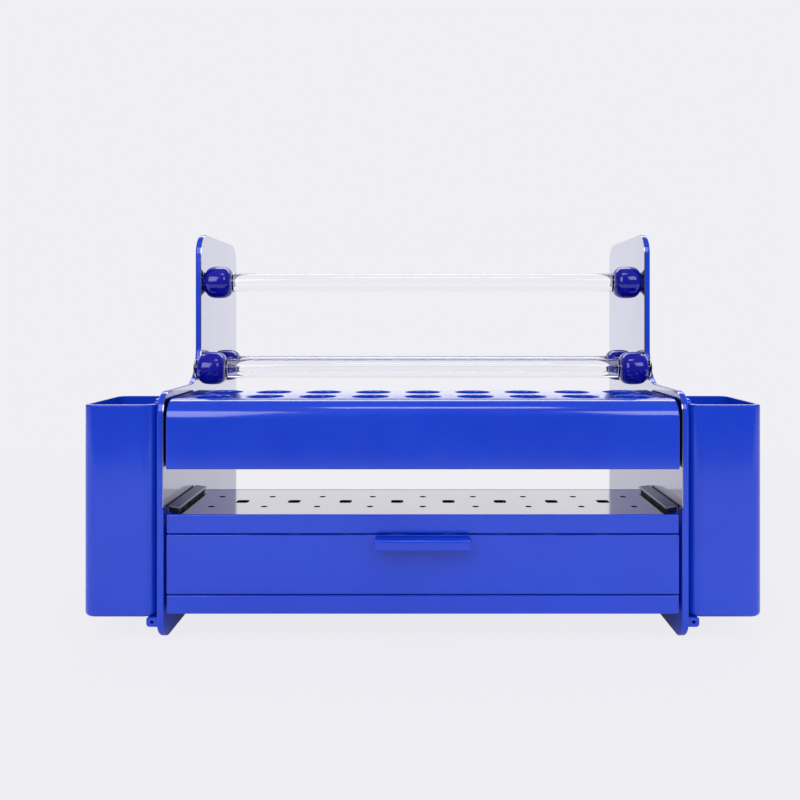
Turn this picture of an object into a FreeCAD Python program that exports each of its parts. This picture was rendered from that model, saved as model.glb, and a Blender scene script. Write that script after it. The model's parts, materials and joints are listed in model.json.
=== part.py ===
# Bench organizer for hand tools: two side frames carry a tool tray with eighteen holes, a
# perforated steel shelf over a small drawer, three clear spool rods and two hang-on cups.
# Millimetres. X runs to the viewer's right, Y to the back and Z up. The origin is on the
# table, under the middle of the whole organizer with its drawer shut.
import FreeCAD, Part
import math
import os

V = FreeCAD.Vector
X_AXIS = V(1, 0, 0)
Y_AXIS = V(0, 1, 0)
Z_AXIS = V(0, 0, 1)

# General values
overrun = 1.0             # how far a cutter runs past the face that it cuts
slip = 0.3                # gap of a part that rests or slides on another
skin = 0.1                # gap round a part that is bonded or dropped into a recess
press = 0.05              # how much wider a hole is than the screw or rod that grips in it
closeness = 0.01          # faces closer than this are one face
same_point = 0.000001     # points closer than this are one point

# Side frames: moulded plates with a stepped outline
frame_depth = 147.0
frame_height = 194.3
frame_thickness = 3.4
clear_width = 238.0       # between the inner faces of the two side frames
upright_setback = 64.5    # front edge of the tall rear part
foot_round = 9.0
shoulder_round = 10.0
notch_round = 18.0
top_round = 11.0
outer_edge_round = 1.3
inner_edge_round = 0.35

# Tool tray
tray_end_gap = 1.0        # between the tray and the side frames
tray_drop = 3.6           # from the side frame's shoulder down to the deck
tray_height = 31.9
tray_depth = 56.5
tray_wall = 2.2
tray_nose_round = 9.0
tray_back_round = 3.0
tray_edge_round = 0.6
tool_hole_diameter = 17.7
tool_hole_pitch = 25.3
tool_hole_count = 9
tool_row_setbacks = (18.1, 41.7)
tool_hole_flare = 0.7
collar_wall = 1.6
collar_length = 3.0
rib_thickness = 1.6
rib_height = 3.0

# Perforated shelf
shelf_height = 58.2
working_gap = 20.7        # from the shelf up to the tray, where the tool tips are reached
shelf_thickness = 1.2
shelf_lip = 1.2
shelf_depth = 54.3
shelf_corner = 0.5
pin_hole_diameter = 3.2
pin_row_setbacks = (16.4, 38.2)
slot_setback = 27.4
slot_width = 6.0
slot_depth = 6.2
slot_round = 1.4

# Polished steel panels that line the inner faces of the side frames
panel_inset = 0.15
panel_thickness = 0.4
panel_sink = 0.1
panel_foot_rise = 2.4     # from the shelf up to the panel's front foot, which the strip covers
panel_step_setback = 47.5  # from here to the back the panel reaches further down
panel_rear_rise = 1.4     # from the bay's walls up to the panel's rear foot
panel_corner = 1.0

# Spool rods and their knobs
rod_diameter = 10.0
rod_end_sink = 0.4
rod_clearance = 0.06
panel_hole_margin = 0.5
upper_rod_inset = 7.5     # behind the upright's front edge
upper_rod_drop = 26.3     # below the frame's top
front_rod_lead = 6.7      # in front of the upright's front edge
rear_rod_inset = 25.0
lower_rod_rise = 7.6      # above the frame's shoulder
front_rod_seat = 1.5      # how far the front rod's ends reach into the side frames
rod_end_bevel = 0.5
knob_gap = 0.5            # between a knob and the side frame
knob_length = 14.6
knob_shoulder = 15.8      # diameter near the knob's ends
knob_crown = 17.5
knob_end_round = 4.6
knob_crown_round = 24.0

# Cover strips at the ends of the shelf, and the bar that fills each
strip_sheet = 0.8
strip_setback = 5.0
strip_length = 46.6
strip_reach = 6.2
strip_rise = 3.3
strip_fall = 0.8
strip_leg = 7.0
strip_hem = 1.0
strip_fold_round = 0.16
bar_end_inset = 0.3

# Cabinet shell
end_gap = 1.6             # between the cabinet and the side frames
shell_wall = 2.0
shell_setback = 2.8
shell_depth = 56.5
rail_height = 8.7
rail_thickness = 2.2
seat_thickness = 2.0
seat_width = 5.0
body_edge_round = 0.5

# Base tray
base_foot = 12.6
base_floor = 2.5
base_strip_height = 8.5   # the front strip under the drawer
base_rear_inset = 2.0
bay_height = 22.0
bay_wall = 2.0
bay_gap = 0.5
bay_corner = 1.2

# Drawer
drawer_gap = 0.5
drawer_top_gap = 0.6
drawer_front_thickness = 2.4
drawer_front_overlap = 0.3
drawer_box_drop = 1.8     # from the front's top down to the box's rim
drawer_rear_gap = 3.0      # between the drawer box and the cabinet's back wall
drawer_wall = 1.6
drawer_side_gap = 0.4
drawer_corner = 2.5
runner_thickness = 1.7
runner_width = 4.0
stop_tab_width = 10.0
stop_tab_rise = 4.3
stop_tab_place = 75.0
pull_width = 43.4
pull_reach = 9.0
pull_height = 4.8
pull_wall = 1.7
pull_drop = 0.2
pull_round = 1.1
pull_edge_round = 0.55

# Hang-on cups
cup_gap = 0.6             # between a cup and the side frame
cup_width = 33.9
cup_depth = 46.0
cup_setback = 0.4
cup_foot = 10.7
cup_rim_drop = 5.9        # from the frame's shoulder down to the cup's rim
cup_wall = 2.0
cup_floor = 2.5
cup_corner = 6.0
cup_foot_round = 2.0
cup_rim_round = 0.6
cup_back_rise = 2.0
cup_back_round = 1.9

# Rails that carry the cups: an upright tee on the frame, and a channel in the cup for it
tee_neck_width = 5.0
tee_head_width = 10.0
tee_head_thickness = 1.4
tee_sink = 0.6
tee_lip = 1.4
tee_back_gap = 0.6        # behind the tee's head, in the cup's channel
tee_foot_rise = 12.9      # from the cup's foot up to the rail's foot
tee_top_drop = 8.9        # from the cup's rim down to the rail's top
tee_end_bevel = 0.6
channel_wall = 1.6
channel_round = 1.0
ledge_reach = 5.0
ledge_height = 4.3
ledge_length = 38.0
ledge_setback = 1.6
ledge_foot_round = 1.5
ledge_top_round = 0.7
ledge_hole = 1.6
ledge_hole_depth = 4.0

# Screws
screw_diameter = 2.9
screw_head_diameter = 5.4
screw_head_height = 1.6
screw_sink = 0.2
screw_clearance = 0.1
screw_tip_gap = 0.4
screw_drive = 2.0
screw_drive_width = 0.5
screw_drive_depth = 0.8
boss_diameter = 8.0
boss_depth = 7.0
body_screw_inset = 14.0   # from the body's front face and from its rear face
tray_screw_drop = 19.2    # from the deck down to the tray's screws
bay_screw_lead = 21.5     # behind the cabinet
bay_screw_inset = 19.0    # in front of the frame's rear edge
base_screw_rise = 13.0    # above the base tray's foot

# Heights worked out from the sizes above
tray_foot = shelf_height + working_gap
tray_top = tray_foot + tray_height
shoulder_height = tray_top + tray_drop
rail_foot = shelf_height - rail_height
base_top = base_foot + base_floor
base_lip = base_foot + base_strip_height
bay_wall_top = base_foot + bay_height
drawer_foot = base_lip + drawer_gap
drawer_front_top = rail_foot - drawer_top_gap
drawer_box_top = drawer_front_top - drawer_box_drop
runner_top = drawer_foot - slip
panel_foot = shelf_height + panel_foot_rise
panel_rear_foot = bay_wall_top + panel_rear_rise
cup_rim = shoulder_height - cup_rim_drop
tee_foot = cup_foot + tee_foot_rise
tee_top = cup_rim - tee_top_drop

# Places worked out from the sizes above
front_y = -(frame_depth - pull_reach) / 2
rear_y = front_y + frame_depth
inner_x = clear_width / 2
outer_x = inner_x + frame_thickness
tray_half = inner_x - tray_end_gap
body_half = inner_x - end_gap
panel_face_x = inner_x + panel_sink
panel_back_x = panel_face_x + panel_thickness
tool_row_places = [front_y + setback for setback in tool_row_setbacks]
tool_columns = [(i - (tool_hole_count - 1) / 2) * tool_hole_pitch for i in range(tool_hole_count)]
slot_columns = [(i - (tool_hole_count - 2) / 2) * tool_hole_pitch for i in range(tool_hole_count - 1)]
shell_inner_half = body_half - shell_wall
drawer_half = shell_inner_half - drawer_side_gap
drawer_box_depth = shell_depth - shell_wall - drawer_front_thickness - drawer_rear_gap
cup_inner_x = outer_x + cup_gap
cup_outer_x = cup_inner_x + cup_width
cup_front_y = front_y + cup_setback
cup_middle_y = cup_front_y + cup_depth / 2
rod_radius = rod_diameter / 2
upper_rod_place = (front_y + upright_setback + upper_rod_inset, frame_height - upper_rod_drop)
front_rod_place = (front_y + upright_setback - front_rod_lead, shoulder_height + lower_rod_rise)
rear_rod_place = (front_y + upright_setback + rear_rod_inset, shoulder_height + lower_rod_rise)


# Helpers

def outline(corners, spot):
    """A closed wire through corners given as (u, v, radius), with tangent arcs for the radii."""
    pieces = []
    for i, (u, v, radius) in enumerate(corners):
        before = corners[i - 1]
        after = corners[(i + 1) % len(corners)]
        back = V(before[0] - u, before[1] - v, 0).normalize()
        ahead = V(after[0] - u, after[1] - v, 0).normalize()
        half = back.getAngle(ahead) / 2
        run = radius / math.tan(half)
        here = V(u, v, 0)
        start = here + back * run
        end = here + ahead * run
        middle = here + (back + ahead).normalize() * (radius / math.sin(half) - radius)
        pieces.append((start, middle, end, radius > 0))
    edges = []
    for i, (start, middle, end, is_round) in enumerate(pieces):
        if is_round:
            arc = Part.Arc(spot(start.x, start.y), spot(middle.x, middle.y), spot(end.x, end.y))
            edges.append(arc.toShape())
        follower = pieces[(i + 1) % len(pieces)][0]
        if (follower - end).Length > same_point:
            edges.append(Part.makeLine(spot(end.x, end.y), spot(follower.x, follower.y)))
    return Part.Wire(edges)


def on_side(x):
    """Turns (y, z) into a point of the upright plane at this x."""
    return lambda u, v: V(x, u, v)


def on_front(y):
    """Turns (x, z) into a point of the upright plane at this y."""
    return lambda u, v: V(u, y, v)


def on_floor(z):
    """Turns (x, y) into a point of the level plane at this z."""
    return lambda u, v: V(u, v, z)


def prism(corners, spot, sweep):
    """The solid that the outline sweeps out."""
    return Part.Face(outline(corners, spot)).extrude(sweep)


def rectangle(u0, u1, v0, v1, radius=0):
    return [(u0, v0, radius), (u1, v0, radius), (u1, v1, radius), (u0, v1, radius)]


def block(x0, x1, y0, y1, z0, z1, radius=0):
    """A block whose upright edges may be rounded."""
    return prism(rectangle(x0, x1, y0, y1, radius), on_floor(z0), V(0, 0, z1 - z0))


def rod_along_x(x0, x1, y, z, radius):
    return Part.makeCylinder(radius, x1 - x0, V(x0, y, z), X_AXIS)


def mirrored(shape):
    return shape.mirror(V(0, 0, 0), X_AXIS)


def edges_on(shape, test):
    """The edges whose every sampled point passes the test."""
    found = []
    for edge in shape.Edges:
        if all(test(point) for point in edge.discretize(3)):
            found.append(edge)
    return found


def near(value, target):
    return abs(value - target) < closeness


def rounded(shape, radius, test):
    """Fillets the edges that pass the test."""
    return shape.makeFillet(radius, edges_on(shape, test))


def save(name, shape):
    """Writes one node, whatever it holds, as its own STEP file."""
    shape.exportStep("parts/" + name + ".step")


# Screws: countersunk, driven from outside towards the middle

def screw(y, z, tip_x):
    """One screw of the right-hand side, with its cross recess, ending at tip_x."""
    face = outer_x - screw_sink
    neck = face - screw_head_height
    half_drive = screw_drive / 2
    half_slot = screw_drive_width / 2
    shank = rod_along_x(tip_x, neck, y, z, screw_diameter / 2)
    head = Part.makeCone(
        screw_diameter / 2, screw_head_diameter / 2, screw_head_height, V(neck, y, z), X_AXIS)
    drive = prism(
        rectangle(y - half_drive, y + half_drive, z - half_slot, z + half_slot),
        on_side(face - screw_drive_depth), V(screw_drive_depth + overrun, 0, 0))
    crossed = drive.copy()
    crossed.rotate(V(face, y, z), X_AXIS, 90)
    return shank.fuse(head).cut(drive).cut(crossed)


def screw_holes(places, x0):
    """Cutters for the shanks and the countersinks of the right-hand side."""
    cutters = []
    neck = outer_x - screw_sink - screw_head_height
    face = outer_x - screw_sink
    shank = screw_diameter / 2 + screw_clearance
    head = screw_head_diameter / 2 + screw_clearance
    for y, z in places:
        cutters.append(rod_along_x(x0, outer_x + overrun, y, z, shank))
        cutters.append(Part.makeCone(shank, head, screw_head_height, V(neck, y, z), X_AXIS))
        cutters.append(rod_along_x(face, outer_x + overrun, y, z, head))
    return cutters


def screw_set(places, tip_x):
    """Both sides' screws of one row, as separate solids in one node."""
    right = [screw(y, z, tip_x) for y, z in places]
    return Part.makeCompound(right + [mirrored(one) for one in right])


def bosses(places, x0, x1):
    """The round bosses that the screws grip in, on both sides."""
    right = [rod_along_x(x0, x1, y, z, boss_diameter / 2) for y, z in places]
    return right + [mirrored(one) for one in right]


def pilot_holes(places, x0):
    """Cutters for the screws' pilot holes, on both sides."""
    right = [rod_along_x(x0, inner_x + overrun, y, z, (screw_diameter + press) / 2) for y, z in places]
    return right + [mirrored(one) for one in right]


body_screw_columns = (front_y + body_screw_inset, front_y + shell_depth - body_screw_inset)
bay_screw_columns = (front_y + shell_depth + bay_screw_lead, rear_y - bay_screw_inset)
tray_screws = [(y, tray_top - tray_screw_drop) for y in body_screw_columns]
cabinet_screws = [(y, (base_lip + shelf_height) / 2) for y in body_screw_columns]
base_screws = [(y, base_foot + base_screw_rise) for y in bay_screw_columns]
tray_tip_x = tray_half - boss_depth + screw_tip_gap
cabinet_tip_x = shell_inner_half + screw_tip_gap
base_tip_x = body_half - bay_wall + screw_tip_gap


# Side frames and the steel panels that line them

def frame_corners(inset, foot, foot_radius):
    """The stepped outline of a side frame, drawn in by an inset, standing at this foot."""
    front = front_y + inset
    rear = rear_y - inset
    step = front_y + upright_setback + inset
    shoulder = shoulder_height - inset
    top = frame_height - inset
    return [
        (front, foot, foot_radius),
        (rear, foot, foot_radius),
        (rear, top, top_round - inset),
        (step, top, top_round - inset),
        (step, shoulder, notch_round + inset),
        (front, shoulder, shoulder_round - inset),
    ]


def panel_corners(inset, margin):
    """The outline of the steel panel. Behind the shelf it reaches down to the open bay."""
    foot = panel_foot - margin
    rear_foot = panel_rear_foot - margin
    step = front_y + panel_step_setback - margin
    corners = frame_corners(inset, foot, panel_corner)
    lower = [
        (step, foot, panel_corner),
        (step, rear_foot, panel_corner),
        (rear_y - inset, rear_foot, panel_corner),
    ]
    return corners[:1] + lower + corners[2:]


def rod_cutters(x0, bore_end, seat_end, bore_margin, seat_margin):
    """The bores of the upper and the rear rod, and the open seat that the front rod lies in."""
    cutters = []
    for y, z in (upper_rod_place, rear_rod_place):
        cutters.append(rod_along_x(x0, bore_end, y, z, rod_radius + bore_margin))
    y, z = front_rod_place
    cutters.append(rod_along_x(x0, seat_end, y, z, rod_radius + seat_margin))
    return cutters


def tee_corners(spread):
    """The section of the tee, in (x, y). A spread makes it the groove that the neck is set in."""
    neck_x = cup_inner_x + tee_lip + slip
    head_x = neck_x + tee_head_thickness
    half_neck = tee_neck_width / 2 + spread
    half_head = tee_head_width / 2
    root = outer_x - tee_sink
    middle = cup_middle_y
    return [
        (root, middle - half_neck, 0),
        (neck_x, middle - half_neck, 0),
        (neck_x, middle - half_head, 0),
        (head_x, middle - half_head, 0),
        (head_x, middle + half_head, 0),
        (neck_x, middle + half_head, 0),
        (neck_x, middle + half_neck, 0),
        (root, middle + half_neck, 0),
    ]


def cup_rail():
    """The upright tee that a cup's channel slides over, set in a groove of the side frame."""
    rail = prism(tee_corners(0), on_floor(tee_foot), V(0, 0, tee_top - tee_foot))
    head_x = cup_inner_x + tee_lip + slip + tee_head_thickness
    top_edges = edges_on(rail, lambda p: near(p.z, tee_top) and near(p.x, head_x))
    return rail.makeChamfer(tee_end_bevel, top_edges)


def cup_ledge():
    """The low ledge that the cup stands on, with a small hole in its front end."""
    y0 = front_y + ledge_setback
    top = cup_foot - slip
    foot = top - ledge_height
    reach = outer_x + ledge_reach
    corners = [
        (outer_x - skin, foot, 0),
        (reach, foot, ledge_foot_round),
        (reach, top, ledge_top_round),
        (outer_x - skin, top, 0),
    ]
    ledge = prism(corners, on_front(y0), V(0, ledge_length, 0))
    mouth = V((outer_x + reach) / 2, y0 - skin, (top + foot) / 2)
    return ledge.cut(Part.makeCylinder(ledge_hole / 2, ledge_hole_depth, mouth, Y_AXIS))


def side_frame():
    plate = prism(frame_corners(0, 0, foot_round), on_side(inner_x), V(frame_thickness, 0, 0))
    plate = rounded(plate, outer_edge_round, lambda p: near(p.x, outer_x))
    plate = rounded(plate, inner_edge_round, lambda p: near(p.x, inner_x))
    recess = prism(
        panel_corners(-overrun, skin), on_side(inner_x - overrun),
        V(overrun + panel_back_x - inner_x, 0, 0))
    groove = prism(tee_corners(skin), on_floor(tee_foot - skin), V(0, 0, tee_top - tee_foot + 2 * skin))
    plate = plate.cut(groove).fuse(cup_ledge())
    inside = inner_x - overrun
    outside = outer_x + overrun
    cutters = [recess] + screw_holes(tray_screws + cabinet_screws + base_screws, inside)
    cutters += rod_cutters(inside, outside, inner_x + front_rod_seat, rod_clearance, slip)
    return plate.cut(cutters).removeSplitter()


def inner_panel():
    sheet = prism(panel_corners(panel_inset, 0), on_side(panel_face_x), V(panel_thickness, 0, 0))
    cutters = rod_cutters(inner_x, outer_x, outer_x, panel_hole_margin, slip + panel_hole_margin)
    shank = screw_diameter / 2 + screw_clearance
    cutters += [rod_along_x(inner_x, outer_x, y, z, shank) for y, z in tray_screws]
    return sheet.cut(cutters)


# Rods and knobs

def spool_rod(place, half):
    bar = rod_along_x(-half, half, place[0], place[1], rod_radius)
    return bar.makeChamfer(rod_end_bevel, edges_on(bar, lambda p: near(abs(p.x), half)))


def knob(place):
    """A rounded barrel turned about the rod, its outer end close to the side frame."""
    outer = inner_x - knob_gap
    inner = outer - knob_length
    bore = (rod_diameter + press) / 2
    corners = [
        (inner, bore, 0),
        (outer, bore, 0),
        (outer, knob_shoulder / 2, knob_end_round),
        ((outer + inner) / 2, knob_crown / 2, knob_crown_round),
        (inner, knob_shoulder / 2, knob_end_round),
    ]
    body = Part.Face(outline(corners, on_floor(0))).revolve(V(0, 0, 0), X_AXIS, 360)
    body.translate(V(0, place[0], place[1]))
    return body


# Tool tray

def tool_hole():
    """A hole with a softened top edge, to be cut at the origin of the deck's top."""
    radius = tool_hole_diameter / 2
    foot = -(tray_wall + collar_length + overrun)
    flare = tool_hole_flare
    bend = flare * (1 - math.sqrt(0.5))
    edges = [
        Part.makeLine(V(0, 0, foot), V(radius, 0, foot)),
        Part.makeLine(V(radius, 0, foot), V(radius, 0, -flare)),
        Part.Arc(V(radius, 0, -flare), V(radius + bend, 0, -bend), V(radius + flare, 0, 0)).toShape(),
        Part.makeLine(V(radius + flare, 0, 0), V(radius + flare, 0, overrun)),
        Part.makeLine(V(radius + flare, 0, overrun), V(0, 0, overrun)),
        Part.makeLine(V(0, 0, overrun), V(0, 0, foot)),
    ]
    return Part.Face(Part.Wire(edges)).revolve(V(0, 0, 0), Z_AXIS, 360)


def top_tray():
    """The tray: a shell open below, with a rounded nose, collars round its holes and two ribs."""
    rear = front_y + tray_depth
    half = tray_half
    deck_foot = tray_top - tray_wall
    room_rear = rear - tray_wall
    skin_corners = [
        (front_y, tray_foot, tray_edge_round),
        (front_y, tray_top, tray_nose_round),
        (rear, tray_top, tray_back_round),
        (rear, tray_foot, tray_edge_round),
    ]
    room_corners = [
        (front_y + tray_wall, tray_foot - overrun, 0),
        (front_y + tray_wall, deck_foot, tray_nose_round - tray_wall),
        (room_rear, deck_foot, tray_back_round - tray_wall),
        (room_rear, tray_foot - overrun, 0),
    ]
    room_half = half - tray_wall
    tray = prism(skin_corners, on_side(-half), V(2 * half, 0, 0))
    tray = rounded(tray, tray_edge_round, lambda p: near(abs(p.x), half))
    tray = tray.cut(prism(room_corners, on_side(-room_half), V(2 * room_half, 0, 0)))
    middle_of_deck = tray_top - tray_wall / 2
    collar_radius = tool_hole_diameter / 2 + collar_wall
    spots = [V(x, y, 0) for x in tool_columns for y in tool_row_places]
    added = bosses(tray_screws, half - boss_depth, panel_face_x)
    for spot in spots:
        foot = spot + V(0, 0, deck_foot - collar_length)
        added.append(Part.makeCylinder(collar_radius, middle_of_deck - foot.z, foot))
    rib_half = room_half + tray_wall / 2
    for y in tool_row_places:
        added.append(block(
            -rib_half, rib_half, y - rib_thickness / 2, y + rib_thickness / 2,
            deck_foot - rib_height, middle_of_deck))
    cutters = pilot_holes(tray_screws, half - boss_depth)
    for spot in spots:
        cutter = tool_hole()
        cutter.translate(spot + V(0, 0, tray_top))
        cutters.append(cutter)
    return tray.fuse(added).cut(cutters).removeSplitter()


# Perforated shelf and the cover strips at its ends

def shelf_plate():
    foot = shelf_height - shelf_thickness
    half = body_half - shelf_lip
    plate = block(
        -half, half, front_y + shelf_lip, front_y + shelf_depth, foot, shelf_height, shelf_corner)
    cutters = []
    for x in tool_columns:
        for setback in pin_row_setbacks:
            start = V(x, front_y + setback, foot - overrun)
            cutters.append(Part.makeCylinder(pin_hole_diameter / 2, shelf_thickness + 2 * overrun, start))
    y = front_y + slot_setback
    for x in slot_columns:
        cutters.append(block(
            x - slot_width / 2, x + slot_width / 2, y - slot_depth / 2, y + slot_depth / 2,
            foot - overrun, shelf_height + overrun, slot_round))
    return plate.cut(cutters)


strip_leg_x = panel_face_x - slip
strip_top = shelf_height + strip_rise
strip_nose_x = inner_x - strip_reach
strip_nose_z = strip_top - strip_fall


def shelf_strip():
    """Folded steel: a leg down the end gap, a ledge over the shelf's end and a turned-down hem."""
    sheet = strip_sheet
    fold = strip_fold_round
    leg_x = strip_leg_x
    leg_foot = shelf_height - strip_leg
    top = strip_top
    nose_x = strip_nose_x
    nose_z = strip_nose_z
    hem_foot = nose_z - strip_hem
    corners = [
        (leg_x, leg_foot, 0),
        (leg_x, top, sheet),
        (nose_x, nose_z, sheet / 2),
        (nose_x, hem_foot, fold),
        (nose_x + sheet, hem_foot, fold),
        (nose_x + sheet, nose_z - sheet, 0),
        (leg_x - sheet, top - sheet, fold),
        (leg_x - sheet, leg_foot, 0),
    ]
    return prism(corners, on_front(front_y + strip_setback), V(0, strip_length, 0))


def strip_bar():
    """The dark bar that fills the strip's fold and carries it on the shelf."""
    foot = shelf_height + skin
    gap = strip_sheet + skin
    corners = [
        (strip_nose_x + gap, foot, 0),
        (strip_leg_x - gap, foot, 0),
        (strip_leg_x - gap, strip_top - gap, strip_fold_round),
        (strip_nose_x + gap, strip_nose_z - gap, strip_fold_round),
    ]
    start = front_y + strip_setback + bar_end_inset
    return prism(corners, on_front(start), V(0, strip_length - 2 * bar_end_inset, 0))


# Cabinet shell and base tray

def cabinet_shell():
    """The housing round the drawer: end walls, back wall, front rail and the shelf's seat."""
    front = front_y + shell_setback
    rear = front_y + shell_depth
    rail_back = front_y + rail_thickness
    wall_face = rear - shell_wall
    seat = shelf_height - shelf_thickness
    ceiling = seat - seat_thickness
    half = body_half
    inner = shell_inner_half
    above = shelf_height + overrun
    shell = block(-half, half, front, rear, base_top, shelf_height)
    shell = shell.cut(block(-inner, inner, front - overrun, wall_face, base_top - overrun, ceiling))
    rail = prism(
        rectangle(front_y, front + overrun, rail_foot, shelf_height, body_edge_round),
        on_side(-half), V(2 * half, 0, 0))
    rail = rail.cut(block(
        -half - overrun, half + overrun, rail_back, front + 2 * overrun, base_top, ceiling))
    well = block(
        seat_width - inner, inner - seat_width, rail_back + seat_width, wall_face - seat_width,
        ceiling - overrun, above, seat_width / 2)
    lip = shelf_lip - skin
    rebate = block(
        lip - half, half - lip, front_y + lip, front_y + shelf_depth + skin, seat, above)
    shell = shell.fuse([rail] + bosses(cabinet_screws, half - skin, inner_x))
    return shell.cut([well, rebate] + pilot_holes(cabinet_screws, inner - overrun)).removeSplitter()


def drawer_runner():
    """The bar on the end wall that the drawer box slides on."""
    inner = shell_inner_half
    return block(
        inner - runner_width, inner, front_y + shell_setback, front_y + shell_depth - shell_wall,
        runner_top - runner_thickness, runner_top)


def base_tray():
    """The floor between the side frames: a strip under the drawer in front, an open bay behind."""
    rear = rear_y - base_rear_inset
    bay_front = front_y + shell_depth + bay_gap
    bay_face = bay_front + bay_wall
    half = body_half
    profile = [
        (front_y, base_foot, body_edge_round),
        (rear, base_foot, bay_corner),
        (rear, bay_wall_top, body_edge_round),
        (rear - bay_wall, bay_wall_top, body_edge_round),
        (rear - bay_wall, base_top, bay_corner),
        (bay_face, base_top, bay_corner),
        (bay_face, bay_wall_top, body_edge_round),
        (bay_front, bay_wall_top, body_edge_round),
        (bay_front, base_top, 0),
        (front_y + rail_thickness, base_top, 0),
        (front_y + rail_thickness, base_lip, body_edge_round),
        (front_y, base_lip, body_edge_round),
    ]
    tray = prism(profile, on_side(-half), V(2 * half, 0, 0))
    side = prism(
        rectangle(bay_front, rear, (base_foot + base_top) / 2, bay_wall_top, body_edge_round),
        on_side(half - bay_wall), V(bay_wall, 0, 0))
    tray = tray.fuse([side, mirrored(side)] + bosses(base_screws, half - skin, inner_x))
    return tray.cut(pilot_holes(base_screws, half - bay_wall - overrun)).removeSplitter()


# Drawer

def drawer_front():
    half = body_half + drawer_front_overlap
    panel = prism(
        rectangle(-half, half, drawer_foot, drawer_front_top),
        on_front(front_y), V(0, drawer_front_thickness, 0))

    def is_corner(p):
        return near(abs(p.x), half) and (near(p.z, drawer_foot) or near(p.z, drawer_front_top))

    return rounded(panel, body_edge_round, lambda p: near(p.y, front_y) or is_corner(p))


def drawer_room(gap, z0, z1):
    """What the drawer's walls enclose, drawn in by a gap, between two heights."""
    inset = drawer_wall + gap
    front = front_y + drawer_front_thickness
    return block(
        inset - drawer_half, drawer_half - inset, front + inset, front + drawer_box_depth - inset,
        z0, z1, drawer_corner - drawer_wall / 2)


def drawer_bottom():
    """The sheet bonded between the feet of the drawer's walls."""
    return drawer_room(skin, drawer_foot, drawer_foot + drawer_wall)


def drawer_box():
    """The drawer's four walls, with two tabs behind that stop it at the front rail."""
    front = front_y + drawer_front_thickness
    rear = front + drawer_box_depth
    wall = drawer_wall
    box = block(-drawer_half, drawer_half, front, rear, drawer_foot, drawer_box_top, drawer_corner)
    room = drawer_room(0, drawer_foot - overrun, drawer_box_top + overrun)
    tabs = []
    for x in (-stop_tab_place, stop_tab_place):
        tabs.append(prism(
            rectangle(x - stop_tab_width / 2, x + stop_tab_width / 2, drawer_box_top - wall,
                      drawer_box_top + stop_tab_rise, wall / 2),
            on_front(rear - wall), V(0, wall, 0)))
    return box.cut(room).fuse(tabs).removeSplitter()


def drawer_pull():
    """A finger pull: a hood open at the bottom, closed at its ends."""
    top = drawer_front_top - pull_drop
    foot = top - pull_height
    lip_y = front_y - pull_reach
    half = pull_width / 2
    wall = pull_wall
    hood = [
        (front_y, top, 0),
        (lip_y, top, pull_round),
        (lip_y, foot, pull_edge_round),
        (front_y, foot, 0),
    ]
    room = [
        (front_y + overrun, top - wall, 0),
        (lip_y + wall, top - wall, pull_edge_round),
        (lip_y + wall, foot - overrun, 0),
        (front_y + overrun, foot - overrun, 0),
    ]
    pull = prism(hood, on_side(-half), V(2 * half, 0, 0))
    pull = rounded(pull, pull_edge_round, lambda p: near(abs(p.x), half) and p.y < front_y - skin)
    return pull.cut(prism(room, on_side(wall - half), V(2 * (half - wall), 0, 0)))


# Cups

def cup():
    """An open box with a raised inner edge, and a channel up its inner wall for the rail."""
    rear = cup_front_y + cup_depth
    inner = cup_inner_x
    outer = cup_outer_x
    wall = cup_wall
    body = block(inner, outer, cup_front_y, rear, cup_foot, cup_rim, cup_corner)
    body = rounded(body, cup_foot_round, lambda p: near(p.z, cup_foot))
    body = rounded(body, cup_rim_round, lambda p: near(p.z, cup_rim))
    room = block(
        inner + wall, outer - wall, cup_front_y + wall, rear - wall, cup_foot + cup_floor,
        cup_rim + overrun, cup_corner - wall)
    raised_edge = prism(
        rectangle(cup_front_y + cup_corner, rear - cup_corner, cup_rim - wall, cup_rim + cup_back_rise,
                  cup_back_round),
        on_side(inner), V(wall, 0, 0))
    middle = cup_middle_y
    slot_face = inner + tee_lip
    slot_back = slot_face + slip + tee_head_thickness + tee_back_gap
    slot_foot = cup_foot - overrun
    slot_top = tee_top + slip
    half_slot = tee_head_width / 2 + slip
    half_neck = tee_neck_width / 2 + slip
    half_channel = half_slot + channel_wall
    channel = block(
        inner + wall / 2, slot_back + channel_wall, middle - half_channel, middle + half_channel,
        cup_foot + cup_floor / 2, slot_top + channel_wall, channel_round)
    head_room = block(slot_face, slot_back, middle - half_slot, middle + half_slot, slot_foot, slot_top)
    neck_room = block(
        inner - overrun, slot_face + slip, middle - half_neck, middle + half_neck, slot_foot, slot_top)
    return body.cut(room).fuse([raised_edge, channel]).cut([head_room, neck_room]).removeSplitter()


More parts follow.
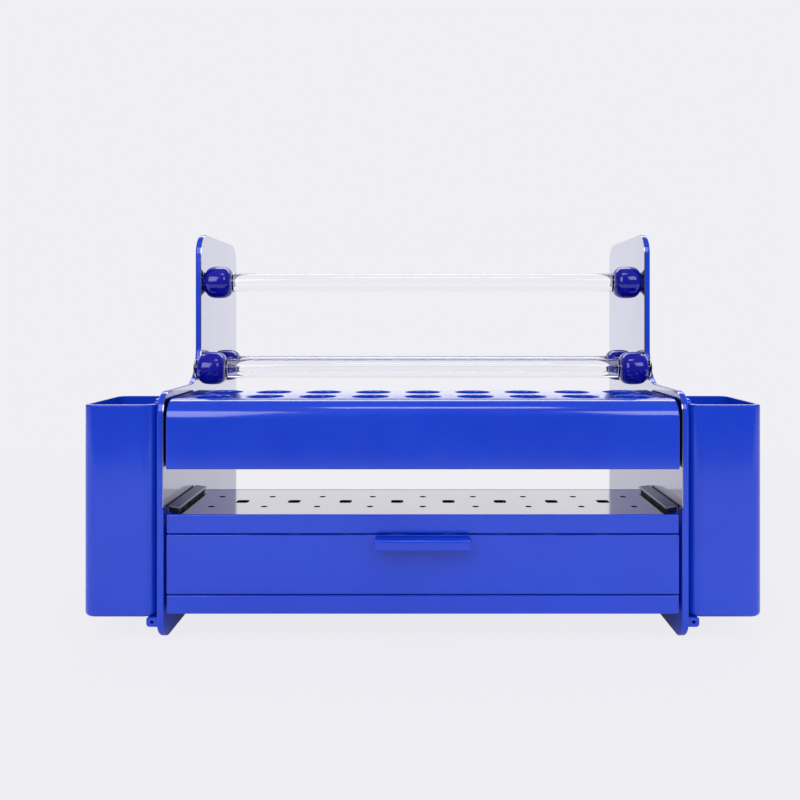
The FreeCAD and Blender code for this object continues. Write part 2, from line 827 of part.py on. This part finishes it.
def build():
    """Makes every node under the name that it is known by."""
    right = {
        "side_frame": side_frame(),
        "inner_panel": inner_panel(),
        "cup_rail": cup_rail(),
        "cup": cup(),
        "shelf_strip": shelf_strip(),
        "strip_bar": strip_bar(),
        "runner": drawer_runner(),
        "upper_knob": knob(upper_rod_place),
        "front_knob": knob(front_rod_place),
        "rear_knob": knob(rear_rod_place),
    }
    through = outer_x - rod_end_sink
    nodes = {
        "top_tray": top_tray(),
        "shelf_plate": shelf_plate(),
        "cabinet_shell": cabinet_shell(),
        "base_tray": base_tray(),
        "drawer_front": drawer_front(),
        "drawer_box": drawer_box(),
        "drawer_bottom": drawer_bottom(),
        "drawer_pull": drawer_pull(),
        "upper_rod": spool_rod(upper_rod_place, through),
        "front_rod": spool_rod(front_rod_place, inner_x + front_rod_seat - slip),
        "rear_rod": spool_rod(rear_rod_place, through),
        "tray_screws": screw_set(tray_screws, tray_tip_x),
        "cabinet_screws": screw_set(cabinet_screws, cabinet_tip_x),
        "base_screws": screw_set(base_screws, base_tip_x),
    }
    for name, shape in right.items():
        nodes["right_" + name] = shape
        nodes["left_" + name] = mirrored(shape)
    return nodes


os.makedirs("parts", exist_ok=True)
for node_name, node_shape in build().items():
    print(node_name, len(node_shape.Solids), round(node_shape.Volume), node_shape.isValid())
    save(node_name, node_shape)
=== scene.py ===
# %% [markdown]
# # A bench organizer with cups, a drawer and clear rods
#
# The solids come from the frame: two stepped side frames, a tray with tool holes, a steel shelf
# over a drawer, three clear rods and two cups. This lesson gives them their finishes, a camera
# that matches the photograph and a plain bright studio. We load the frame first, because every
# place below is read from it and nothing is typed twice.

# %% Load the frame
import json
import math

import bpy
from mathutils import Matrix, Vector


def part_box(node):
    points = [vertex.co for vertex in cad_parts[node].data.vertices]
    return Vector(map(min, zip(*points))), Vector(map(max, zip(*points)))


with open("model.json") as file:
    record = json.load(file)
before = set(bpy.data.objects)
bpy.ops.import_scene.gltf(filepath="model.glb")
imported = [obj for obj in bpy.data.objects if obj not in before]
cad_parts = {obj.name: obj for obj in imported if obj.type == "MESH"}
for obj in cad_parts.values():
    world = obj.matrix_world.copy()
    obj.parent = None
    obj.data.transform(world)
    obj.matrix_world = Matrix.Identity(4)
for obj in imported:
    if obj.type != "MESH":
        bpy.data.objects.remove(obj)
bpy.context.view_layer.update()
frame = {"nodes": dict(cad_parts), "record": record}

MM = 0.001
nodes = frame["nodes"]

# %% [markdown]
# ## The camera
#
# The photograph was taken level and square on: every edge that runs to the back meets in one
# vanishing point, right of the middle and above it. A level camera with a small shift gives the
# same picture. Its distance comes from how much smaller the rear edges look than the front ones,
# and its lens from the scale of the front plane. We build it from those measured values rather
# than moving it by eye.

# %% Camera
PICTURE = 800                      # pixels across the square picture
FRONT_SCALE = 2.18                 # pixels per millimetre on the front plane
CAMERA_DISTANCE = 375 * MM         # from the front plane
CAMERA_HEIGHT = 147.5 * MM
VANISH_X, VANISH_Y = 422.8, 320.0  # the vanishing point, in pixels
SENSOR = 36.0                      # the sensor's width in millimetres
LEVEL = math.radians(90)           # a camera looks straight down until it is turned up by this

tray_low, tray_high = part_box("top_tray")
front_y = tray_low.y
focal_pixels = FRONT_SCALE * CAMERA_DISTANCE / MM

camera_data = bpy.data.cameras.new("camera")
camera_data.sensor_width = SENSOR
camera_data.lens = focal_pixels / PICTURE * SENSOR
camera_data.shift_x = (PICTURE / 2 - VANISH_X) / PICTURE
camera_data.shift_y = (VANISH_Y - PICTURE / 2) / PICTURE
camera = bpy.data.objects.new("camera", camera_data)
camera.location = (0, front_y - CAMERA_DISTANCE, CAMERA_HEIGHT)
camera.rotation_euler = (LEVEL, 0, 0)
bpy.context.scene.collection.objects.link(camera)
bpy.context.scene.camera = camera
print("lens", round(camera_data.lens, 2), "mm, shift", round(camera_data.shift_x, 4), camera_data.shift_y)

# %% [markdown]
# ## Colours and nodes
#
# Colours are written as they look on a screen, as hex values, and one function turns them into
# the linear values that the shaders need. A second function adds one node with its settings and
# its links, so that a finish reads as a short list of steps. The others make what several
# materials share: an empty material, noise of a real size, a blend of two shades of a colour, and
# a switch for the rays that see a surface straight on or through something clear.


# %% Helpers for colours and nodes
def linear(hex_colour):
    """Turns a screen colour such as 1A2B3C into linear red, green, blue and alpha, by the sRGB curve."""
    values = []
    for i in (0, 2, 4):
        share = int(hex_colour[i:i + 2], 16) / 255
        values.append(share / 12.92 if share <= 0.04045 else ((share + 0.055) / 1.055) ** 2.4)
    return (*values, 1.0)


def add(tree, kind, links=(), **settings):
    """Adds a node. A setting is an attribute or, with its spaces as underscores, an input."""
    node = tree.nodes.new(kind)
    for name, value in settings.items():
        if hasattr(node, name):
            setattr(node, name, value)
        else:
            node.inputs[name.replace("_", " ")].default_value = value
    for source, target in links:
        tree.links.new(source, node.inputs[target])
    return node


def new_material(name):
    """An empty material with its output node."""
    material = bpy.data.materials.new(name)
    material.use_nodes = True
    tree = material.node_tree
    tree.nodes.clear()
    return material, tree, add(tree, "ShaderNodeOutputMaterial")


def noise(tree, place, size, **settings):
    """Noise whose patches are about this size, in metres on the piece."""
    return add(tree, "ShaderNodeTexNoise", [(place, "Vector")], Scale=1 / size, **settings).outputs["Fac"]


def two_shades(tree, value, low_end, high_end, dark, light):
    """A colour that goes from dark to light while the value goes from the low to the high end."""
    blend = add(tree, "ShaderNodeValToRGB", [(value, "Fac")])
    start, stop = blend.color_ramp.elements
    start.position, start.color = low_end, linear(dark)
    stop.position, stop.color = high_end, linear(light)
    return blend.outputs["Color"]


def seen_directly(tree, paths):
    """One for rays from the camera and for those that come through something clear, else zero."""
    either = add(tree, "ShaderNodeMath", [(paths.outputs["Is Camera Ray"], 0),
                                          (paths.outputs["Is Transmission Ray"], 1)], operation="MAXIMUM")
    return either.outputs[0]


# The mix node has inputs A and B for each kind of value, so its colour ones go by number.
COLOUR_A, COLOUR_B, COLOUR_OUT = 6, 7, 2


# %% [markdown]
# ## Background and floor
#
# The photograph's ground is one even, very pale grey. We give the world that colour wherever a
# camera ray reaches it, and let clear surfaces see it too. Shiny surfaces see a fuller studio: a
# sweep behind the organizer that is a little brighter than the ground, and a darker room at the
# sides and behind the camera, which keeps the blue deep. The table ends a good step in front, so
# the drawer and the lowest part of the tray's band mirror it and look paler, and the rest of the
# band mirrors the room. The floor is mostly self-coloured where the camera looks at it, which
# keeps it level with the background and still lets it hold a soft shadow.

# %% World
GROUND = "F0EFF4"
BEHIND_CAMERA = "56565F"
OVERHEAD = "6C6C78"
AMBIENT_COLOUR = "FFFFFF"
SWEEP_GLOW = 1.3               # the mirrored studio's strength, against the ground's
AMBIENT = 0.62
SWEEP_EDGES = (0.3, 0.85)      # how far to the back a ray points where the sweep starts and is full
OVERHEAD_EDGES = (0.35, 0.75)  # how far up a ray points where the ceiling starts and is full


def fade(tree, value, edges):
    """Goes smoothly from 0 to 1 between two values."""
    smooth = add(tree, "ShaderNodeMapRange", [(value, 0)], interpolation_type="SMOOTHSTEP",
                 From_Min=edges[0], From_Max=edges[1])
    return smooth.outputs[0]


world = bpy.data.worlds.new("studio")
bpy.context.scene.world = world
world.use_nodes = True
tree = world.node_tree
tree.nodes.clear()
paths = add(tree, "ShaderNodeLightPath")
place = add(tree, "ShaderNodeTexCoord")
axes = add(tree, "ShaderNodeSeparateXYZ", [(place.outputs["Generated"], 0)])
to_back = fade(tree, axes.outputs["Y"], SWEEP_EDGES)
to_top = fade(tree, axes.outputs["Z"], OVERHEAD_EDGES)
level_mix = add(tree, "ShaderNodeMix", [(to_back, "Factor")], data_type="RGBA")
level_mix.inputs[COLOUR_A].default_value = linear(BEHIND_CAMERA)
level_mix.inputs[COLOUR_B].default_value = linear(GROUND)
mirrored = add(tree, "ShaderNodeMix", [(to_top, "Factor"),
                                       (level_mix.outputs[COLOUR_OUT], COLOUR_A)], data_type="RGBA")
mirrored.inputs[COLOUR_B].default_value = linear(OVERHEAD)
ambient = add(tree, "ShaderNodeBackground", Color=linear(AMBIENT_COLOUR), Strength=AMBIENT)
shiny = add(tree, "ShaderNodeBackground", [(mirrored.outputs[COLOUR_OUT], "Color")], Strength=SWEEP_GLOW)
plain = add(tree, "ShaderNodeBackground", Color=linear(GROUND), Strength=1.0)
lighting = add(tree, "ShaderNodeMixShader", [(paths.outputs["Is Glossy Ray"], 0), (ambient.outputs[0], 1),
                                             (shiny.outputs[0], 2)])
studio = add(tree, "ShaderNodeMixShader", [(seen_directly(tree, paths), 0), (lighting.outputs[0], 1),
                                           (plain.outputs[0], 2)])
add(tree, "ShaderNodeOutputWorld", [(studio.outputs[0], "Surface")])
print("world ready")

# %% Floor
FLOOR_FRONT = 0.46        # metres from the organizer's front to the table's front edge
FLOOR_BACK = 0.55         # and to its back edge, where the sweep takes over
FLOOR_SIDE = 1.2
FLOOR_LIT = "DDDCE1"      # its colour where it holds shadows and lights the organizer
SEEN_SHARE = 0.93         # share of the floor's look that no shadow darkens, where the camera looks
MIRRORED_SHARE = 0.1      # the same share where a shiny surface mirrors the floor

bpy.ops.mesh.primitive_plane_add(size=1)
floor = bpy.context.object
floor.name = "floor"
floor.scale = (2 * FLOOR_SIDE, FLOOR_FRONT + FLOOR_BACK, 1)
floor.location = (0, front_y + (FLOOR_BACK - FLOOR_FRONT) / 2, 0)

material, tree, output = new_material("matt studio floor")
paths = add(tree, "ShaderNodeLightPath")
seen_share = add(tree, "ShaderNodeMath", [(seen_directly(tree, paths), 0)], operation="MULTIPLY")
seen_share.inputs[1].default_value = SEEN_SHARE
mirror_share = add(tree, "ShaderNodeMath", [(paths.outputs["Is Glossy Ray"], 0)], operation="MULTIPLY")
mirror_share.inputs[1].default_value = MIRRORED_SHARE
share = add(tree, "ShaderNodeMath", [(seen_share.outputs[0], 0), (mirror_share.outputs[0], 1)],
            operation="MAXIMUM")
lit = add(tree, "ShaderNodeBsdfDiffuse", Color=linear(FLOOR_LIT))
glow = add(tree, "ShaderNodeEmission", Color=linear(GROUND), Strength=1.0)
mixed = add(tree, "ShaderNodeMixShader", [(share.outputs[0], 0), (lit.outputs[0], 1), (glow.outputs[0], 2)])
tree.links.new(mixed.outputs[0], output.inputs["Surface"])
floor.data.materials.append(material)
print("table from", FLOOR_FRONT, "m in front to", FLOOR_BACK, "m behind")

# %% [markdown]
# ## Lamps
#
# Wide soft suns light the front, the top and the rear evenly, at a level where a colour shows
# about as it is written. They throw no mirror image and don't shine through the rods: the long
# highlights along the tray's rounded edge come from separate panels of light, hung where the
# photograph's highlights ask for them. The two at the sides give the ends of the tray's edge and
# the knobs their bright patches, the one above joins the two ends with a thin line, and the long
# one behind draws the pale line where the deck turns down.

# %% Suns and highlight panels
SUNS = {  # degrees round from the camera and up, strength, and width of the glow in degrees
    "left sun": (-28, 38, 0.95, 40),
    "right sun": (34, 30, 0.55, 40),
    "top sun": (0, 78, 0.5, 50),
    "rear sun": (165, 40, 0.5, 50),
}
PANELS = {  # degrees round and up, metres away, width and height in metres, and watts
    "left panel": (-31, 24, 1.6, 0.8, 0.9, 7.6),
    "right panel": (30, 30, 1.6, 0.6, 0.6, 3.9),
    "top panel": (4, 66, 1.4, 0.5, 0.22, 1.7),
    "rear panel": (180, 50, 1.6, 2.2, 0.5, 15),
}


def hang(name, data, azimuth, elevation, distance):
    """Hangs a lamp on this side of the tray and turns it there. Positive is to the camera's right."""
    turn, rise = math.radians(azimuth), math.radians(elevation)
    away = Vector((math.sin(turn) * math.cos(rise), -math.cos(turn) * math.cos(rise), math.sin(rise)))
    lamp = bpy.data.objects.new(name, data)
    lamp.location = Vector((0, front_y, tray_high.z)) + away * distance
    lamp.rotation_mode = "QUATERNION"
    lamp.rotation_quaternion = away.to_track_quat("Z", "Y")
    lamp.visible_transmission = False
    bpy.context.scene.collection.objects.link(lamp)
    return lamp


for name, (azimuth, elevation, strength, glow_width) in SUNS.items():
    data = bpy.data.lights.new(name, "SUN")
    data.energy = strength
    data.angle = math.radians(glow_width)
    hang(name, data, azimuth, elevation, 0).visible_glossy = False

for name, (azimuth, elevation, distance, width, height, watts) in PANELS.items():
    data = bpy.data.lights.new(name, "AREA")
    data.shape = "RECTANGLE"
    data.size, data.size_y = width, height
    data.energy = watts
    hang(name, data, azimuth, elevation, distance).visible_diffuse = False
print("lamps", len(SUNS), "suns and", len(PANELS), "panels")

# %% [markdown]
# ## Blue ABS
#
# The frames, tray, cabinet, drawer and cups are ABS, injection moulded in a polished tool. It is
# glossy but not perfectly flat: the skin ripples a little where the melt flowed, the gloss
# changes slightly from place to place, and the colour is a shade lighter and darker across a
# face. Those three are drawn by noise of different sizes. The finest, the skin's grain, is
# finer than a pixel on the real thing, so it is drawn at about a millimetre. The knobs are the
# same plastic in navy. The bars under the shelf's cover strips get a near-black one, left matt,
# which is painted shade for the shadowed gap under the strips.
# Seen at a slant, the polished deck turns almost white, more than one layer of gloss gives, so
# the plastic has a thin second layer, and the tray a stronger one.

# %% Moulded plastic
ABS_IOR = 1.53
FLOW_SIZE = 60 * MM        # the patches where the colour changes
GRAIN_SIZE = 1.1 * MM
RIPPLE_HEIGHT, RIPPLE_SHOWN = 0.04 * MM, 0.25
GRAIN_HEIGHT, GRAIN_SHOWN = 0.01 * MM, 0.12
MIDDLE = (0.3, 0.7)        # the part of a noise's range that most of it lies in
GLOSS_SWING = (0.85, 1.2)  # the lowest and highest roughness, against the one that is asked for
SECOND_ROUGHNESS = 0.08    # of the second layer of gloss
BLUE = ("0A37C3", "0E3FCC")


def moulded_plastic(name, shades, roughness, ripple_size, second_gloss=0.2, specular=0.5):
    """Moulded plastic, between a dark and a light shade of its colour."""
    material, tree, output = new_material(name)
    place = add(tree, "ShaderNodeTexCoord").outputs["Object"]
    flow = noise(tree, place, FLOW_SIZE, Detail=3.0)
    skin = noise(tree, place, ripple_size, Detail=2.0, Roughness=0.4)
    grain = noise(tree, place, GRAIN_SIZE, Detail=2.0)
    colour = two_shades(tree, flow, *MIDDLE, *shades)
    gloss = add(tree, "ShaderNodeMapRange", [(skin, 0)], From_Min=MIDDLE[0], From_Max=MIDDLE[1],
                To_Min=roughness * GLOSS_SWING[0], To_Max=roughness * GLOSS_SWING[1])
    waves = add(tree, "ShaderNodeBump", [(skin, "Height")], Strength=RIPPLE_SHOWN, Distance=RIPPLE_HEIGHT)
    fine = add(tree, "ShaderNodeBump", [(grain, "Height"), (waves.outputs[0], "Normal")],
               Strength=GRAIN_SHOWN, Distance=GRAIN_HEIGHT)
    shader = add(tree, "ShaderNodeBsdfPrincipled", [
        (colour, "Base Color"), (gloss.outputs[0], "Roughness"),
        (fine.outputs[0], "Normal"), (fine.outputs[0], "Coat Normal")],
        IOR=ABS_IOR, Specular_IOR_Level=specular, Coat_Weight=second_gloss, Coat_Roughness=SECOND_ROUGHNESS)
    tree.links.new(shader.outputs[0], output.inputs["Surface"])
    return material


blue_abs = moulded_plastic("blue ABS moulded glossy", BLUE, roughness=0.16, ripple_size=14 * MM)
tray_abs = moulded_plastic("blue ABS moulded high gloss", BLUE, roughness=0.13, ripple_size=14 * MM,
                           second_gloss=0.6)
navy_abs = moulded_plastic("navy ABS moulded glossy", ("080A88", "0B0F9A"), roughness=0.12,
                           ripple_size=6 * MM)
# Near-black matt plastic for the strip bars: painted shade standing in for the shadowed gap under the
# shelf's cover strips.
shade_dark_abs = moulded_plastic("near-black ABS matt painted shade", ("06062C", "0A0A38"), roughness=0.6,
                           ripple_size=6 * MM, second_gloss=0.0, specular=0.15)
print("plastics", blue_abs.name, "and", tray_abs.name, "and", navy_abs.name, "and", shade_dark_abs.name)

# %% [markdown]
# ## Polished stainless steel
#
# The shelf and the two inner panels are stainless sheet with a bright rolled finish. It mirrors
# its surroundings softly, and very fine rolling lines stretch the image a little along the
# sheet. The lines are a noise pulled out along one axis. They are far finer than a pixel, so
# they are drawn at half a millimetre. Each of them looks a good deal darker and bluer in the
# other's mirror image than it does straight on, because it mirrors blue plastic there. A few
# bounces of light lose that, so both carry a painted reflection: a second, darker and bluer
# colour that only mirrored rays see.

# %% Stainless steel
LINE_SIZE = 0.5 * MM
LINE_PULL = 0.02               # the noise's scale along the lines, against across them
LINE_DEPTH, LINE_SHOWN = 0.004 * MM, 0.15
CLOUD_SIZE = 35 * MM           # the patches where the tint changes
CLOUD_RANGE = (0.25, 0.75)
LINE_GLOSS_SWING = (0.7, 1.3)  # the lowest and highest roughness, against the one that is asked for


def stainless(name, shades, roughness, along, painted_reflection=None):
    """Sheet with rolling lines along X, Y or Z, and perhaps a painted reflection: another colour that only
    mirrored rays see.
    """
    material, tree, output = new_material(name)
    place = add(tree, "ShaderNodeTexCoord").outputs["Object"]
    stretch = [LINE_PULL if axis == along else 1.0 for axis in "XYZ"]
    pulled = add(tree, "ShaderNodeMapping", [(place, "Vector")], Scale=stretch)
    lines = noise(tree, pulled.outputs[0], LINE_SIZE, Detail=2.0)
    cloud = noise(tree, place, CLOUD_SIZE, Detail=3.0)
    surface = two_shades(tree, cloud, *CLOUD_RANGE, *shades)
    gloss = add(tree, "ShaderNodeMapRange", [(lines, 0)], To_Min=roughness * LINE_GLOSS_SWING[0],
                To_Max=roughness * LINE_GLOSS_SWING[1])
    grooves = add(tree, "ShaderNodeBump", [(lines, "Height")], Strength=LINE_SHOWN, Distance=LINE_DEPTH)
    # Painted reflection: mirrored rays see this second, darker and bluer colour in place of the blue
    # plastic the steel would mirror.
    if painted_reflection:
        paths = add(tree, "ShaderNodeLightPath")
        seen = add(tree, "ShaderNodeMix", [(paths.outputs["Is Glossy Ray"], "Factor"), (surface, COLOUR_A)],
                   data_type="RGBA")
        seen.inputs[COLOUR_B].default_value = linear(painted_reflection)
        surface = seen.outputs[COLOUR_OUT]
    shader = add(tree, "ShaderNodeBsdfPrincipled", [
        (surface, "Base Color"), (gloss.outputs[0], "Roughness"), (grooves.outputs[0], "Normal")],
        Metallic=1.0)
    tree.links.new(shader.outputs[0], output.inputs["Surface"])
    return material


# The second colours of the shelf and the panels are painted reflections of blue plastic, seen only in each
# other's mirror image.
shelf_steel = stainless("stainless steel rolled bright", ("A6A6A9", "ABABAE"), roughness=0.10, along="X",
                        painted_reflection="6F6B87")
panel_steel = stainless("stainless steel polished", ("B3B3C2", "B8B8C7"), roughness=0.12, along="Z",
                        painted_reflection="44448C")
strip_steel = stainless("stainless steel brushed dark", ("707078", "84848C"), roughness=0.34, along="Y")
screw_steel = stainless("steel zinc plated", ("B4B7BB", "C4C6CA"), roughness=0.34, along="Y")
print("steels", shelf_steel.name, panel_steel.name, strip_steel.name, screw_steel.name)

# %% [markdown]
# ## Clear acrylic
#
# The rods are cast acrylic, turned and flame polished. Light goes through with an index of 1.49,
# so a rod on an even ground is nearly invisible: only its upper and lower edges show, where it
# bends in something darker or brighter. A trace of haze in the surface stands for handling.

# %% Acrylic
ACRYLIC_IOR = 1.49
ACRYLIC_COLOUR = "FEFEFF"
ACRYLIC_SHINE = 0.2       # how much of the surface's mirror image is kept, where 0.5 is all
HAZE_SIZE = 9 * MM
HAZE_ROUGHNESS = 0.05

clear_acrylic, tree, output = new_material("acrylic clear polished")
place = add(tree, "ShaderNodeTexCoord").outputs["Object"]
haze = noise(tree, place, HAZE_SIZE, Detail=4.0)
gloss = add(tree, "ShaderNodeMapRange", [(haze, 0)], To_Min=0.0, To_Max=HAZE_ROUGHNESS)
shader = add(tree, "ShaderNodeBsdfPrincipled", [(gloss.outputs[0], "Roughness")], IOR=ACRYLIC_IOR,
             Transmission_Weight=1.0, Base_Color=linear(ACRYLIC_COLOUR), Specular_IOR_Level=ACRYLIC_SHINE)
tree.links.new(shader.outputs[0], output.inputs["Surface"])
print("rods are", clear_acrylic.name)

# %% [markdown]
# ## Giving the nodes their finishes
#
# Each node keeps its shape from the frame and gets one finish, chosen by what it is made of. Four
# nodes differ from the others of their slot: the tray, the shelf, and the dark bars at its ends,
# whose near-black finish is painted shade.

# %% Finishes
FINISHES = {
    "blue_plastic": blue_abs,
    "navy_plastic": navy_abs,
    "polished_steel": panel_steel,
    "strip_steel": strip_steel,
    "screw_steel": screw_steel,
    "clear_acrylic": clear_acrylic,
}
OWN_FINISHES = {
    "top_tray": tray_abs,
    "shelf_plate": shelf_steel,
    "left_strip_bar": shade_dark_abs,
    "right_strip_bar": shade_dark_abs,
}
slot_of = {entry["node"]: entry["material_slot"] for entry in frame["record"]["subparts"]}
for name, node in nodes.items():
    finish = OWN_FINISHES.get(name, FINISHES[slot_of[name]])
    node.data.materials.clear()
    node.data.materials.append(finish)
print("finished", len(nodes), "nodes")

# %% Finish
bpy.context.scene.view_settings.view_transform = "Standard"
